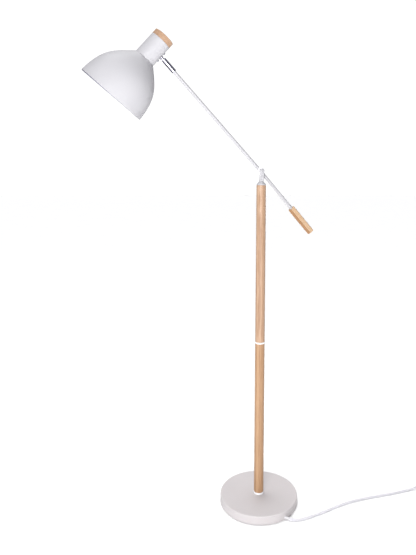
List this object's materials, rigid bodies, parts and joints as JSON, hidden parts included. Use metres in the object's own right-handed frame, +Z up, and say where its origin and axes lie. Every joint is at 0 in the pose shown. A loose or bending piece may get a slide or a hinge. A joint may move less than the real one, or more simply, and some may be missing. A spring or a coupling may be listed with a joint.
{
  "type": "adjustable arm floor lamp",
  "caption": "Floor lamp: round weighted base, wooden pole, tilting arm with a wooden grip, and a dome shade on a ball joint.",
  "frame": {"origin": "centre of the base's underside, on the floor", "axes": "+Z up along the pole; at rest the arm lies in the XZ plane and carries the head towards -X"},
  "size_m": [1.245, 0.2756, 1.451],
  "materials": {
    "white_paint": "satin powder coat",
    "grey_paint": "satin powder coat, warm grey",
    "shade_paint": "spun aluminium, satin powder coat",
    "ash": "clear lacquered ash",
    "ash_grip": "clear lacquered ash",
    "chrome": "polished",
    "steel": "plated",
    "iron": "as cast",
    "felt": "needle felt",
    "white_plastic": "moulded, fine matt",
    "cord": "white twisted cord",
    "brass": "bright",
    "ceramic": "glazed",
    "opal_glass": "opal"
  },
  "bodies": {
    "stand": {"base_pad": "felt", "base_weight": "iron", "base_cover": "grey_paint", "base_washer": "steel", "base_nut": "steel", "foot_collar": "white_paint", "lower_pole": "ash", "upper_pole": "ash", "mid_ring": "white_paint", "rod_coupler": "steel", "lower_rod": "steel", "upper_rod": "steel", "rod_washer": "steel", "rod_nut": "steel", "pole_cap": "white_paint", "stand_lead": "cord", "strain_relief": "white_plastic", "cord_front": "cord", "cord_to_coil": "cord", "cord_tail": "cord", "cord_coil": "cord", "switch_base": "white_plastic", "switch_cover": "white_plastic", "plug_body": "white_plastic", "plug_pin_1": "brass", "plug_pin_2": "brass"},
    "switch_key": {"switch_button": "white_plastic"},
    "stem": {"swivel_stem": "white_paint", "stem_locknut": "steel", "pivot_bolt": "white_paint", "front_washer": "white_plastic", "rear_washer": "white_plastic", "pivot_nut": "chrome"},
    "arm": {"pivot_hub": "white_paint", "upper_arm_tube": "white_paint", "lower_arm_tube": "white_paint", "grip": "ash_grip", "arm_lead": "cord"},
    "knuckle": {"ball_sleeve": "chrome"},
    "stud": {"ball_stud": "chrome", "stud_nut": "steel", "stud_locknut": "steel"},
    "head": {"cup": "white_paint", "cup_bracket": "steel", "cap_disc": "ash", "cup_screw_1": "steel", "cup_screw_2": "steel", "shade": "shade_paint", "holder_nipple": "steel", "holder_nut": "steel", "holder_cap": "white_plastic", "holder_body": "white_plastic", "holder_insert": "ceramic", "screw_shell": "brass", "centre_contact": "brass", "bulb_cap": "steel", "bulb_glass": "opal_glass", "head_lead": "cord"}
  },
  "joints": [
    {"name": "stem_swivel", "type": "hinge", "parent": "stand", "child": "stem", "pos_m": [0, 0, 1], "axis": [0, 0, 1], "range_deg": [-170, 170]},
    {"name": "arm_tilt", "type": "hinge", "parent": "stem", "child": "arm", "pos_m": [0, 0.0075, 1.0341], "axis": [0, 1, 0], "range_deg": [-87, 12]},
    {"name": "knuckle_turn", "type": "hinge", "parent": "arm", "child": "knuckle", "pos_m": [-0.30588, 0.0075, 1.35869], "axis": [-0.6858, 0, 0.7278], "range_deg": [-170, 170]},
    {"name": "head_tilt", "type": "hinge", "parent": "knuckle", "child": "stud", "pos_m": [-0.30588, 0.0075, 1.35869], "axis": [0, 1, 0], "range_deg": [-38, 50]},
    {"name": "head_turn", "type": "hinge", "parent": "stud", "child": "head", "pos_m": [-0.30588, 0.0075, 1.35869], "axis": [-0.7615, 0, 0.6481], "range_deg": [-170, 170]},
    {"name": "switch_push", "type": "slide", "parent": "stand", "child": "switch_key", "axis": [0, 0, -1], "range_m": [0, 0.0025], "stiffness_N_per_m": 800}
  ]
}
